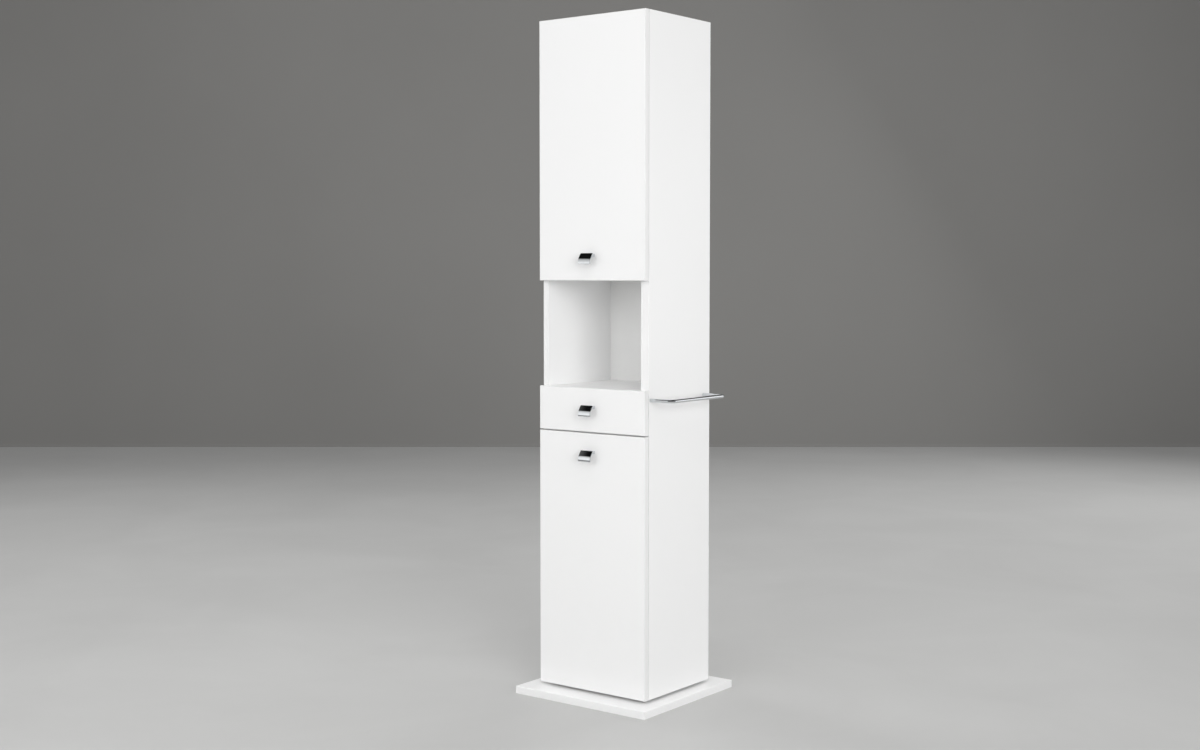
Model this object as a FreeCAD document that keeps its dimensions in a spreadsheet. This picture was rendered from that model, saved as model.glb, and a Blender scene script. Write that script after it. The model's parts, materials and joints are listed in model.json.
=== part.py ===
# Tall swivel cabinet for a bathroom, in millimetres.
# Frame: origin on the floor under the swivel axis, +Z up, fronts towards -Y, towel rail towards +X.
import FreeCAD, Part
import math
import os
import re
import Sketcher

doc = FreeCAD.newDocument("tall_cabinet")
Vector = FreeCAD.Vector

# Driving dimensions
sizes = {
    # body
    "body_width": 350,
    "body_height": 1780,
    "carcass_depth": 280,
    "board": 16,
    "right_board": 25,
    "back_board": 3,
    "back_rebate": 8,
    # fronts, from the bottom up
    "front_board": 16,
    "front_gap": 1.5,
    "front_edge_radius": 2,
    "reveal": 3,
    "lower_door_height": 687,
    "drawer_front_height": 116,
    "niche_height": 283,
    # base plate and turntable bearing
    "base_width": 430,
    "base_depth": 410,
    "base_board": 20,
    "base_edge_radius": 1.5,
    "bearing_height": 8,
    "bearing_plate": 2,
    "bearing_plate_side": 160,
    "bearing_corner_radius": 14,
    "bearing_screw_offset": 66,
    "race_radius": 62,
    "race_clearance": 0.3,
    "ball_radius": 2.5,
    "ball_count": 12,
    "cage_width": 12,
    "cage_thickness": 1.2,
    "cage_play": 0.1,
    "rivet_radius": 12,
    "rivet_wall": 3,
    "rivet_head_radius": 15,
    "rivet_head": 1.5,
    "running_clearance": 0.05,
    "swivel_clearance": 0.3,
    "rivet_recess_margin": 2,
    # shelves and their pins
    "shelf_setback": 25,
    "shelf_play": 0.5,
    "pin_radius": 2.5,
    "pin_seat": 8,
    "pin_reach": 8,
    "pin_inset": 30,
    # carcass fittings
    "cam_radius": 7.5,
    "cam_height": 12.5,
    "cam_distance": 24,
    "cam_inset": 40,
    "cam_bolt_radius": 3,
    "cam_bolt_seat": 11,
    "dowel_radius": 4,
    "dowel_seat": 12,
    "dowel_reach": 20,
    # screws
    "wood_screw_radius": 2,
    "wood_screw_head_radius": 4,
    "wood_screw_length": 14,
    "small_screw_radius": 1.5,
    "small_screw_head_radius": 3,
    "small_screw_head": 1.4,
    "small_screw_length": 12,
    # pulls
    "pull_width": 40,
    "pull_height": 28.5,
    "pull_standoff": 18.5,
    "pull_wall": 2.8,
    "pull_slope_reach": 9.5,
    "pull_slope_drop": 13.5,
    "pull_lip_reach": 2,
    "pull_bend_radius": 11,
    "pull_neck_width": 26,
    "pull_neck_height": 8,
    "pull_neck_inset": 1.8,
    "pull_edge_distance": 58,
    "pull_screw_spacing": 16,
    "pull_screw_radius": 2,
    "pull_screw_head_radius": 4,
    "pull_screw_head": 2.2,
    "pull_screw_bite": 9,
    # towel rail
    "rail_radius": 5,
    "rail_reach": 67,
    "rail_bend": 12,
    "rail_height": 781,
    "rail_front": 25,
    "rail_rear": 268,
    "rail_screw_radius": 2.5,
    "rail_screw_head_radius": 4.5,
    "rail_screw_head": 3,
    "rail_screw_bite": 12,
    # concealed hinges
    "hinge_inset": 90,
    "cup_radius": 17.5,
    "cup_wall": 1,
    "cup_floor": 0.7,
    "cup_depth": 12.4,
    "cup_centre_inset": 22.5,
    "cup_flange": 0.8,
    "cup_flange_radius": 19,
    "cup_wing_width": 18,
    "cup_wing_height": 62,
    "cup_screw_spacing": 48,
    "cup_pin_inset": 13,
    "cup_pin_depth": 3,
    "arm_pin_inset": 32,
    "arm_pin_depth": 8.5,
    "hinge_pin_radius": 1.5,
    "hinge_eye_radius": 2.4,
    "hinge_tongue": 4.8,
    "link_cheek": 2,
    "link_play": 0.3,
    "arm_length": 44,
    "arm_setback": 12,
    "arm_depth": 7,
    "arm_width": 16,
    "arm_nose_half": 2.4,
    "arm_elbow_inset": 29.5,
    "arm_elbow_setback": 4,
    "hinge_plate": 2,
    "hinge_plate_height": 52,
    "hinge_plate_wing": 18,
    "hinge_plate_setback": 28,
    "hinge_plate_screw_spacing": 32,
    "bumper_radius": 4,
    "bumper_inset": 12.5,
    "bumper_edge_distance": 30,
    # drawer box and runners
    "drawer_board": 12,
    "drawer_bottom_board": 3,
    "drawer_groove": 4,
    "drawer_bottom_lift": 8,
    "drawer_clearance": 10,
    "drawer_box_height": 70,
    "drawer_box_length": 250,
    "drawer_screw_inset": 18,
    "runner_width": 12.7,
    "runner_height": 45,
    "runner_length": 250,
    "runner_setback": 2,
    "runner_wall": 1.2,
    "runner_clearance": 0.35,
    "runner_slot_half": 15,
    "runner_depth": 11.5,
    "runner_screw_inset": 35,
    # how far cutting shapes run past what they cut
    "overrun": 5,
}

# Shares of the space that a row of pieces stands in
upper_shelf_shares = {"upper_shelf_low": "1 / 3", "upper_shelf_high": "2 / 3"}
lower_shelf_shares = {"lower_shelf": "1 / 2"}
back_screw_shares = ("0.08", "0.36", "0.64", "0.92")

# Faces and levels that follow from the driving dimensions
places = {
    "left_face": "-body_width / 2",
    "right_face": "body_width / 2",
    "left_inner": "left_face + board",
    "right_inner": "right_face - right_board",
    "front_face": "-(front_board + front_gap + carcass_depth) / 2",
    "front_back": "front_face + front_board",
    "carcass_front": "front_back + front_gap",
    "carcass_back": "carcass_front + carcass_depth",
    "back_inner": "carcass_back - back_board",
    "body_floor": "base_board + bearing_height",
    "body_top": "body_floor + body_height",
    "lower_door_top": "body_floor + lower_door_height",
    "drawer_front_floor": "lower_door_top + reveal",
    "niche_floor_top": "drawer_front_floor + drawer_front_height",
    "niche_top": "niche_floor_top + niche_height",
    "divider_floor": "lower_door_top + reveal / 2 - board / 2",
    "divider_top": "divider_floor + board",
    "lower_plate_top": "base_board + bearing_plate",
    "upper_plate_floor": "body_floor - bearing_plate",
    "ball_level": "base_board + bearing_height / 2",
    "rivet_head_floor": "body_floor + swivel_clearance",
    "rivet_head_top": "rivet_head_floor + rivet_head",
    "shelf_front": "carcass_front + shelf_setback",
    "arm_pin_x": "left_face + arm_pin_inset",
    "arm_pin_y": "front_back - arm_pin_depth",
    "cup_pin_x": "left_face + cup_pin_inset",
    "cup_pin_y": "front_back - cup_pin_depth",
    "cup_centre_x": "left_face + cup_centre_inset",
    "link_length": "sqrt((arm_pin_x - cup_pin_x)^2 + (arm_pin_y - cup_pin_y)^2)",
    "link_side_x": "hinge_eye_radius * (arm_pin_y - cup_pin_y) / link_length",
    "link_side_y": "hinge_eye_radius * (arm_pin_x - cup_pin_x) / link_length",
    "cheek_inner": "hinge_tongue / 2 + link_play",
    "cheek_outer": "cheek_inner + link_cheek",
    "box_floor": "divider_top + drawer_clearance",
    "box_top": "box_floor + drawer_box_height",
    "box_left": "left_inner + runner_width",
    "box_right": "right_inner - runner_width",
    "box_back": "front_back + drawer_box_length",
    "runner_level": "(box_floor + box_top) / 2",
    "runner_front": "carcass_front + runner_setback",
    "runner_back": "runner_front + runner_length",
    "rail_level": "body_floor + rail_height",
    "rail_near": "front_face + rail_front",
    "rail_far": "front_face + rail_rear",
    "rail_bend_x": "right_face + rail_reach - rail_bend",
}

sheet = doc.addObject("Spreadsheet::Sheet", "Sizes")
for row, (alias, value) in enumerate(sizes.items(), 1):
    sheet.set(f"A{row}", alias)
    sheet.set(f"B{row}", str(value))
    sheet.setAlias(f"B{row}", alias)
doc.recompute()

nodes = {}
turns = {
    "+X": FreeCAD.Rotation(Vector(0, 1, 0), 90),
    "-X": FreeCAD.Rotation(Vector(0, 1, 0), -90),
    "+Y": FreeCAD.Rotation(Vector(1, 0, 0), -90),
    "-Y": FreeCAD.Rotation(Vector(1, 0, 0), 90),
    "+Z": FreeCAD.Rotation(),
    "-Z": FreeCAD.Rotation(Vector(1, 0, 0), 180),
}
opposite = {"+X": "-X", "-X": "+X", "+Y": "-Y", "-Y": "+Y", "+Z": "-Z", "-Z": "+Z"}


def formula(text):
    """Write a size or place, given in the names above, as an expression on the sheet's cells."""
    def swap(match):
        word = match.group(0)
        if word in places:
            return "(" + formula(places[word]) + ")"
        return "Sizes." + word if word in sizes else word
    return re.sub(r"[a-z][a-z_0-9]*", swap, text)


def bind(item, **texts):
    for name, text in texts.items():
        item.setExpression(name, formula(text))
    return item


def place(item, x="0", y="0", z="0"):
    for axis, text in (("x", x), ("y", y), ("z", z)):
        item.setExpression(f"Placement.Base.{axis}", formula(text))
    return item


def node(name, item):
    """Give a finished piece its name, which is also the name of its file."""
    item.Label = name
    nodes[name] = item
    return item


# Solids from primitives
def box(x, y, z):
    """A box between two faces on each axis."""
    item = doc.addObject("Part::Box", "Box")
    bind(item, Length=f"({x[1]}) - ({x[0]})", Width=f"({y[1]}) - ({y[0]})", Height=f"({z[1]}) - ({z[0]})")
    return place(item, x[0], y[0], z[0])


def rod(axis, start, radius, length):
    item = doc.addObject("Part::Cylinder", "Rod")
    item.Placement.Rotation = turns[axis]
    bind(item, Radius=radius, Height=length)
    return place(item, *start)


def cone(axis, start, radius, end_radius, length):
    item = doc.addObject("Part::Cone", "Cone")
    item.Placement.Rotation = turns[axis]
    bind(item, Radius1=radius, Radius2=end_radius, Height=length)
    return place(item, *start)


def ring(start, radius, tube_radius):
    item = doc.addObject("Part::Torus", "Ring")
    bind(item, Radius1=radius, Radius2=tube_radius)
    return place(item, *start)


def bend(start, turn):
    """A quarter bend of the towel rail, turned about Z."""
    item = ring(start, "rail_bend", "rail_radius")
    item.Angle3 = 90
    item.Placement.Rotation = FreeCAD.Rotation(Vector(0, 0, 1), turn)
    return item


def join(items):
    item = doc.addObject("Part::MultiFuse", "Join")
    item.Shapes = items
    item.Refine = True
    return item


def group(items):
    """Several separate solids kept together."""
    item = doc.addObject("Part::Compound", "Group")
    item.Links = items
    return item


def cut(base, tools):
    """Take each tool out of the base, one after another."""
    for tool in tools:
        item = doc.addObject("Part::Cut", "Cut")
        item.Base = base
        item.Tool = tool
        item.Refine = True
        base = item
    return base


def flat_screw(axis, start, radius, head_radius, head, length):
    """A countersunk screw, its head flush with the face at start."""
    return join([cone(axis, start, head_radius, radius, head), rod(axis, start, radius, length)])


def pan_screw(axis, start, radius, head_radius, head, length):
    """A screw whose head stands on the face at start."""
    return join([rod(opposite[axis], start, head_radius, head), rod(axis, start, radius, length)])


# Solids from sketches
def origin_feature(body, role):
    return next(item for item in body.Origin.OriginFeatures if item.Role == role)


def outline(body, plane, corners):
    """A closed outline: each corner starts on a unit circle and is drawn to its place by its two distances."""
    sketch = body.newObject("Sketcher::SketchObject", "Outline")
    sketch.AttachmentSupport = [(origin_feature(body, plane), "")]
    sketch.MapMode = "FlatFace"
    count = len(corners)
    angles = [2 * math.pi * step / count for step in range(count)]
    starts = [Vector(math.cos(angle), math.sin(angle), 0) for angle in angles]
    for step in range(count):
        sketch.addGeometry(Part.LineSegment(starts[step], starts[(step + 1) % count]))
    for step in range(count):
        sketch.addConstraint(Sketcher.Constraint("Coincident", step, 2, (step + 1) % count, 1))
    for step, (across, up) in enumerate(corners):
        for kind, text, value in (("DistanceX", across, starts[step].x), ("DistanceY", up, starts[step].y)):
            index = sketch.addConstraint(Sketcher.Constraint(kind, -1, 1, step, 1, value))
            sketch.setExpression(f"Constraints[{index}]", formula(text))
    return sketch


def circles(body, plane, rounds):
    """Circles given by centre and radius."""
    sketch = body.newObject("Sketcher::SketchObject", "Circles")
    sketch.AttachmentSupport = [(origin_feature(body, plane), "")]
    sketch.MapMode = "FlatFace"
    for step, (across, up, radius) in enumerate(rounds):
        sketch.addGeometry(Part.Circle(Vector(0, 0, 0), Vector(0, 0, 1), step + 1))
        for constraint, text in (
            (Sketcher.Constraint("DistanceX", -1, 1, step, 3, 0), across),
            (Sketcher.Constraint("DistanceY", -1, 1, step, 3, 0), up),
            (Sketcher.Constraint("Radius", step, step + 1), radius),
        ):
            index = sketch.addConstraint(constraint)
            sketch.setExpression(f"Constraints[{index}]", formula(text))
    return sketch


def pad(body, sketch, length, both_ways=False):
    item = body.newObject("PartDesign::Pad", "Pad")
    item.Profile = sketch
    item.SideType = "Symmetric" if both_ways else "One side"
    return bind(item, Length=length)


def rounded(body, base, radius, chosen):
    """Round the edges of the base feature that the test picks."""
    doc.recompute()
    picked = [f"Edge{index}" for index, edge in enumerate(base.Shape.Edges, 1) if chosen(edge)]
    item = body.newObject("PartDesign::Fillet", "Rounding")
    item.Base = (base, picked)
    return bind(item, Radius=radius)


def prism(plane, corners, length, both_ways=False):
    body = doc.addObject("PartDesign::Body", "Prism")
    pad(body, outline(body, plane, corners), length, both_ways)
    return body


def rectangle(low, high):
    return [(low[0], low[1]), (high[0], low[1]), (high[0], high[1]), (low[0], high[1])]


def near(first, second):
    return abs(first - second) < sizes["running_clearance"]


# Base plate with eased edges, standing flat on the floor
def base_plate():
    body = doc.addObject("PartDesign::Body", "BasePlate")
    corners = rectangle(("-base_width / 2", "-base_depth / 2"), ("base_width / 2", "base_depth / 2"))
    block = pad(body, outline(body, "XY_Plane", corners), "base_board")
    rounded(body, block, "base_edge_radius", lambda edge: edge.BoundBox.ZMax > sizes["base_board"] / 2)
    return body


# Turntable bearing: two square plates with a race each, a ring of balls in a cage and a hollow hub rivet
def bearing_plate(level, hole_radius, screws):
    half = "bearing_plate_side / 2"
    body = doc.addObject("PartDesign::Body", "BearingPlate")
    corners = rectangle((f"-{half}", f"-{half}"), (half, half))
    plate = pad(body, outline(body, "XY_Plane", corners), "bearing_plate")
    rounded(body, plate, "bearing_corner_radius", lambda edge: near(edge.Length, sizes["bearing_plate"]))
    place(body, z=level)
    race = ring(("0", "0", "ball_level"), "race_radius", "ball_radius + race_clearance")
    hole = rod("+Z", ("0", "0", f"({level}) - overrun"), hole_radius, "bearing_plate + 2 * overrun")
    return cut(body, [race, hole, screws])


def bearing_screws(axis, level):
    offsets = [(across, along) for across in ("-", "") for along in ("-", "")]
    return group([
        flat_screw(axis, (f"{across}bearing_screw_offset", f"{along}bearing_screw_offset", level),
                   "wood_screw_radius", "wood_screw_head_radius", "bearing_plate", "wood_screw_length")
        for across, along in offsets
    ])


def bearing_rivet():
    body = doc.addObject("PartDesign::Body", "Rivet")
    inner = "rivet_radius - rivet_wall"
    profile = outline(body, "XZ_Plane", [
        (inner, "base_board"), ("rivet_radius", "base_board"), ("rivet_radius", "rivet_head_floor"),
        ("rivet_head_radius", "rivet_head_floor"), ("rivet_head_radius", "rivet_head_top"),
        (inner, "rivet_head_top"),
    ])
    turned = body.newObject("PartDesign::Revolution", "Turned")
    turned.Profile = profile
    turned.ReferenceAxis = (origin_feature(body, "Z_Axis"), [""])
    turned.Angle = 360
    return body


def bearing_balls():
    balls = []
    for step in range(sizes["ball_count"]):
        ball = doc.addObject("Part::Sphere", "Ball")
        bind(ball, Radius="ball_radius")
        angle = f"360 * {step} / ball_count"
        balls.append(place(ball, f"race_radius * cos({angle})", f"race_radius * sin({angle})", "ball_level"))
    return group(balls)


def bearing_cage():
    body = doc.addObject("PartDesign::Body", "Cage")
    edges = [("0", "0", "race_radius + cage_width / 2"), ("0", "0", "race_radius - cage_width / 2")]
    band = pad(body, circles(body, "XY_Plane", edges), "cage_thickness", both_ways=True)
    pocket = body.newObject("PartDesign::Pocket", "BallPocket")
    pocket.Profile = circles(body, "XY_Plane", [("race_radius", "0", "ball_radius + cage_play")])
    pocket.SideType = "Symmetric"
    bind(pocket, Length="cage_thickness + overrun")
    pattern = body.newObject("PartDesign::PolarPattern", "BallPockets")
    pattern.Originals = [pocket]
    pattern.Axis = (origin_feature(body, "Z_Axis"), [""])
    pattern.Angle = 360
    bind(pattern, Occurrences="ball_count")
    body.Tip = pattern
    doc.recompute()
    if not pattern.Shape.Volume < pocket.Shape.Volume < band.Shape.Volume:
        raise ValueError("the ball pockets cut nothing out of the cage")
    return place(body, z="ball_level")


lower_bearing_screws = node("bearing_lower_screws", bearing_screws("-Z", "lower_plate_top"))
upper_bearing_screws = node("bearing_upper_screws", bearing_screws("+Z", "upper_plate_floor"))
node("base_plate", cut(base_plate(), [lower_bearing_screws]))
node("bearing_lower_plate", bearing_plate("base_board", "rivet_radius", lower_bearing_screws))
node("bearing_upper_plate",
     bearing_plate("upper_plate_floor", "rivet_radius + running_clearance", upper_bearing_screws))
node("bearing_rivet", bearing_rivet())
node("bearing_balls", bearing_balls())
node("bearing_cage", bearing_cage())

# Carcass fittings: cam locks, their bolts and dowels join each fixed board to both sides
fixed_boards = {
    "bottom_panel": ("body_floor", "over"),
    "drawer_divider": ("divider_floor", "under"),
    "niche_floor": ("niche_floor_top - board", "under"),
    "niche_ceiling": ("niche_top", "over"),
    "top_panel": ("body_top - board", "under"),
}
cam_rows = ("carcass_front + cam_inset", "back_inner - cam_inset")
cams, bolts, dowels = [], [], []
for floor, cam_side in fixed_boards.values():
    cam_floor = floor if cam_side == "under" else f"{floor} + board - cam_height"
    middle = f"{floor} + board / 2"
    for inner, axis, sign in (("left_inner", "+X", "+"), ("right_inner", "-X", "-")):
        inward = f"{inner} {sign}"
        outward = f"{inner} {'-' if sign == '+' else '+'}"
        for along in cam_rows:
            cams.append(rod("+Z", (f"{inward} cam_distance", along, cam_floor), "cam_radius", "cam_height"))
            bolts.append(rod(axis, (f"{outward} cam_bolt_seat", along, middle), "cam_bolt_radius",
                             "cam_bolt_seat + cam_distance - cam_radius"))
        dowels.append(rod(axis, (f"{outward} dowel_seat", "(carcass_front + back_inner) / 2", middle),
                          "dowel_radius", "dowel_seat + dowel_reach"))
cam_locks = node("cam_locks", group(cams))
cam_bolts = node("cam_bolts", group(bolts))
dowel_group = node("dowels", group(dowels))
board_fittings = [cam_locks, cam_bolts, dowel_group]

# Back panel, let into rebates of the sides, top and bottom and screwed from behind
back_screws = node("back_panel_screws", group([
    flat_screw("-Y", (across, "carcass_back", f"body_floor + body_height * {share}"), "small_screw_radius",
               "small_screw_head_radius", "back_board", "back_board + small_screw_length")
    for across in ("left_inner - (board - back_rebate) / 2", "right_inner + (right_board - back_rebate) / 2")
    for share in back_screw_shares
]))
back_blank = box(("left_face + back_rebate", "right_face - back_rebate"), ("back_inner", "carcass_back"),
                 ("body_floor + back_rebate", "body_top - back_rebate"))
back_panel = node("back_panel", cut(back_blank, [back_screws]))

# Shelves on pins, with play between the sides
shelf_pins = []


def shelf(floor):
    pin_level = f"{floor} - pin_radius"
    for along in ("shelf_front + pin_inset", "back_inner - pin_inset"):
        for start in ("left_inner - pin_seat", "right_inner - pin_reach"):
            shelf_pins.append(rod("+X", (start, along, pin_level), "pin_radius", "pin_seat + pin_reach"))
    return box(("left_inner + shelf_play", "right_inner - shelf_play"), ("shelf_front", "back_inner"),
               (floor, f"{floor} + board"))


for name, share in upper_shelf_shares.items():
    node(name, shelf(f"niche_top + board + (body_top - niche_top - 2 * board) * {share}"))
for name, share in lower_shelf_shares.items():
    node(name, shelf(f"body_floor + board + (divider_floor - body_floor - board) * {share}"))
pin_group = node("shelf_pins", group(shelf_pins))

# Towel rail: a bent bar, screwed from inside the right side
rail_ends = ("rail_near", "rail_far")
rail_screws = node("towel_rail_screws", group([
    pan_screw("+X", ("right_inner", along, "rail_level"), "rail_screw_radius", "rail_screw_head_radius",
              "rail_screw_head", "right_board + rail_screw_bite")
    for along in rail_ends
]))
rail_arms = [rod("+X", ("right_face", along, "rail_level"), "rail_radius", "rail_reach - rail_bend")
             for along in rail_ends]
rail_bar = rod("+Y", ("right_face + rail_reach", "rail_near + rail_bend", "rail_level"), "rail_radius",
               "rail_far - rail_near - 2 * rail_bend")
rail_bends = [bend(("rail_bend_x", "rail_near + rail_bend", "rail_level"), -90),
              bend(("rail_bend_x", "rail_far - rail_bend", "rail_level"), 0)]
node("towel_rail", cut(join(rail_arms + rail_bends + [rail_bar]), [rail_screws]))

# Drawer runners: an outer and a middle lipped channel and an inner bar, nested with a sliding clearance
sides = {"left_inner": "+", "right_inner": "-"}


def channel(inner, sign, low, high, half):
    """A lipped channel whose mouth faces the drawer, from low to high measured from the side's inner face."""
    corners = [
        (low, f"-({half})"), (high, f"-({half})"), (high, "-runner_slot_half"),
        (f"{high} - runner_wall", "-runner_slot_half"), (f"{high} - runner_wall", f"-({half}) + runner_wall"),
        (f"{low} + runner_wall", f"-({half}) + runner_wall"), (f"{low} + runner_wall", f"{half} - runner_wall"),
        (f"{high} - runner_wall", f"{half} - runner_wall"), (f"{high} - runner_wall", "runner_slot_half"),
        (high, "runner_slot_half"), (high, half), (low, half),
    ]
    corners = [(f"{inner} {sign} ({across})", f"runner_level + {up}") for across, up in corners]
    return place(prism("XZ_Plane", corners, "runner_length"), y="runner_back")


def inner_bar(inner, sign):
    low = "2 * (runner_wall + runner_clearance)"
    step = "runner_depth - 2 * (runner_wall + runner_clearance)"
    half = "runner_height / 2 - 2 * (runner_wall + runner_clearance)"
    stem = "runner_slot_half - runner_clearance"
    corners = [(low, f"-({half})"), (step, f"-({half})"), (step, f"-({stem})"), ("runner_width", f"-({stem})"),
               ("runner_width", stem), (step, stem), (step, half), (low, half)]
    corners = [(f"{inner} {sign} ({across})", f"runner_level + {up}") for across, up in corners]
    return place(prism("XZ_Plane", corners, "runner_length"), y="runner_back")


nest = "runner_wall + runner_clearance"
runner_screws = node("runner_outer_screws", group([
    flat_screw("-X" if sign == "+" else "+X", (f"{inner} {sign} runner_wall", along, "runner_level"),
               "small_screw_radius", "small_screw_head_radius", "runner_wall", "runner_wall + small_screw_length")
    for inner, sign in sides.items()
    for along in ("runner_front + runner_screw_inset", "runner_back - runner_screw_inset")
]))
outer_channels = group([channel(inner, sign, "0", "runner_depth", "runner_height / 2")
                        for inner, sign in sides.items()])
node("runner_outer_rails", cut(outer_channels, [runner_screws]))
node("runner_middle_rails", group([
    channel(inner, sign, nest, f"runner_depth - ({nest})", f"runner_height / 2 - ({nest})")
    for inner, sign in sides.items()
]))
node("runner_inner_rails", group([inner_bar(inner, sign) for inner, sign in sides.items()]))


# Concealed hinges: a plate and arm on the left side, a pair of link cheeks on two pins, and a cup in the door
def hinge_plate(level):
    wing_front = "carcass_front + hinge_plate_setback"
    across = ("left_inner", "left_inner + hinge_plate")
    wing = box(across, (wing_front, f"{wing_front} + hinge_plate_wing"),
               (f"{level} - hinge_plate_height / 2", f"{level} + hinge_plate_height / 2"))
    spine = box(across, ("carcass_front + arm_setback", "carcass_front + arm_setback + arm_length"),
                (f"{level} - arm_width / 2", f"{level} + arm_width / 2"))
    return join([wing, spine])


def hinge_plate_screws(level):
    along = "carcass_front + hinge_plate_setback + hinge_plate_wing / 2"
    return [flat_screw("-X", ("left_inner + hinge_plate", along, f"{level} {sign} hinge_plate_screw_spacing / 2"),
                       "small_screw_radius", "small_screw_head_radius", "hinge_plate",
                       "hinge_plate + small_screw_length")
            for sign in "+-"]


def hinge_pin(across, along, level):
    return rod("+Z", (across, along, f"{level} - cheek_outer"), "hinge_pin_radius", "2 * cheek_outer")


def hinge_bore(across, along, level):
    """Running bore for a hinge pin."""
    return rod("+Z", (across, along, f"{level} - cheek_outer"), "hinge_pin_radius + running_clearance",
               "2 * cheek_outer")


def hinge_arm(level):
    root = "left_inner + hinge_plate"
    block = box((root, f"{root} + arm_depth"),
                ("carcass_front + arm_setback", "carcass_front + arm_setback + arm_length"),
                (f"{level} - arm_width / 2", f"{level} + arm_width / 2"))
    root_middle = f"{root} + arm_depth / 2"
    elbow = "left_face + arm_elbow_inset"
    line = [(root_middle, "carcass_front + arm_setback + arm_depth"),
            (root_middle, "carcass_front + arm_setback"),
            (elbow, "carcass_front + arm_elbow_setback"), ("arm_pin_x", "arm_pin_y")]
    corners = [(f"{across} - arm_nose_half", along) for across, along in line]
    corners += [(f"{across} + arm_nose_half", along) for across, along in reversed(line)]
    nose = place(prism("XY_Plane", corners, "hinge_tongue", both_ways=True), z=level)
    eye = rod("+Z", ("arm_pin_x", "arm_pin_y", f"{level} - hinge_tongue / 2"), "hinge_eye_radius", "hinge_tongue")
    return cut(join([block, nose, eye]), [hinge_bore("arm_pin_x", "arm_pin_y", level)])


def link_cheek(floor, pins):
    corners = [("arm_pin_x - link_side_x", "arm_pin_y + link_side_y"),
               ("arm_pin_x + link_side_x", "arm_pin_y - link_side_y"),
               ("cup_pin_x + link_side_x", "cup_pin_y - link_side_y"),
               ("cup_pin_x - link_side_x", "cup_pin_y + link_side_y")]
    web = place(prism("XY_Plane", corners, "link_cheek"), z=floor)
    eyes = [rod("+Z", (across, along, floor), "hinge_eye_radius", "link_cheek")
            for across, along in (("arm_pin_x", "arm_pin_y"), ("cup_pin_x", "cup_pin_y"))]
    return cut(join([web] + eyes), pins)


def hinge_cup(level):
    centre = ("cup_centre_x", "front_back", level)
    bowl = rod("-Y", centre, "cup_radius", "cup_depth")
    rim = rod("+Y", centre, "cup_flange_radius", "cup_flange")
    wings = box(("cup_centre_x - cup_wing_width / 2", "cup_centre_x + cup_wing_width / 2"),
                ("front_back", "front_back + cup_flange"),
                (f"{level} - cup_wing_height / 2", f"{level} + cup_wing_height / 2"))
    hollow = rod("-Y", ("cup_centre_x", "front_back + overrun", level), "cup_radius - cup_wall",
                 "overrun + cup_depth - cup_floor")
    lug_block = box(("cup_centre_x - cup_radius", "cup_pin_x + hinge_eye_radius"),
                    ("front_back - cup_depth", "cup_pin_y + hinge_eye_radius"),
                    (f"{level} - hinge_tongue / 2", f"{level} + hinge_tongue / 2"))
    lug = doc.addObject("Part::Common", "Lug")
    lug.Base = lug_block
    lug.Tool = bowl
    shell = cut(join([bowl, rim, wings]), [hollow])
    return cut(join([shell, lug]), [hinge_bore("cup_pin_x", "cup_pin_y", level)])


def cup_screws(level):
    return [pan_screw("-Y", ("cup_centre_x", "front_back + cup_flange", f"{level} {sign} cup_screw_spacing / 2"),
                      "small_screw_radius", "small_screw_head_radius", "small_screw_head",
                      "cup_flange + small_screw_length")
            for sign in "+-"]


# Chrome pull: a bent plate on a neck, screwed through the front
def pull_profile(body):
    bend_out = "pull_standoff + pull_slope_reach"
    lip_out = f"{bend_out} + pull_lip_reach"
    bend_level = "pull_height / 2 - pull_slope_drop"
    line = [("pull_standoff", "pull_height / 2"), (bend_out, bend_level), (lip_out, "-pull_height / 2")]
    corners = [(f"-({out})", up) for out, up in line]
    corners += [(f"-({out}) + pull_wall", up) for out, up in reversed(line)]
    return outline(body, "YZ_Plane", corners)


def neck_profile(body):
    top = "pull_height / 2 - pull_neck_inset"
    floor = f"{top} - pull_neck_height"
    slope = "pull_slope_reach / pull_slope_drop"
    ends = [f"-(pull_standoff - pull_wall / 2 + {drop} * {slope})"
            for drop in ("pull_neck_inset", "(pull_neck_inset + pull_neck_height)")]
    return outline(body, "YZ_Plane", [("0", floor), ("0", top), (ends[0], top), (ends[1], floor)])


def pull(level):
    body = doc.addObject("PartDesign::Body", "Pull")
    plate = pad(body, pull_profile(body), "pull_width", both_ways=True)
    bend_level = sizes["pull_height"] / 2 - sizes["pull_slope_drop"]
    rounded(body, plate, "pull_bend_radius",
            lambda edge: near(edge.BoundBox.ZMin, bend_level) and near(edge.BoundBox.ZMax, bend_level))
    pad(body, neck_profile(body), "pull_neck_width", both_ways=True)
    return place(body, y="front_face", z=level)


def pull_screws(level, start, thickness):
    height = f"{level} + pull_height / 2 - pull_neck_inset - pull_neck_height / 2"
    return group([
        pan_screw("-Y", (f"{sign} pull_screw_spacing / 2", start, height), "pull_screw_radius",
                  "pull_screw_head_radius", "pull_screw_head", f"{thickness} + pull_screw_bite")
        for sign in ("-", "")
    ])


def front_panel(floor, top):
    """A front with rounded outer edges."""
    body = doc.addObject("PartDesign::Body", "Front")
    slab = pad(body, outline(body, "XZ_Plane", rectangle(("left_face", floor), ("right_face", top))), "front_board")
    rounded(body, slab, "front_edge_radius", lambda edge: near(edge.BoundBox.YMax, -sizes["front_board"]))
    return place(body, y="front_back")


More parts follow.
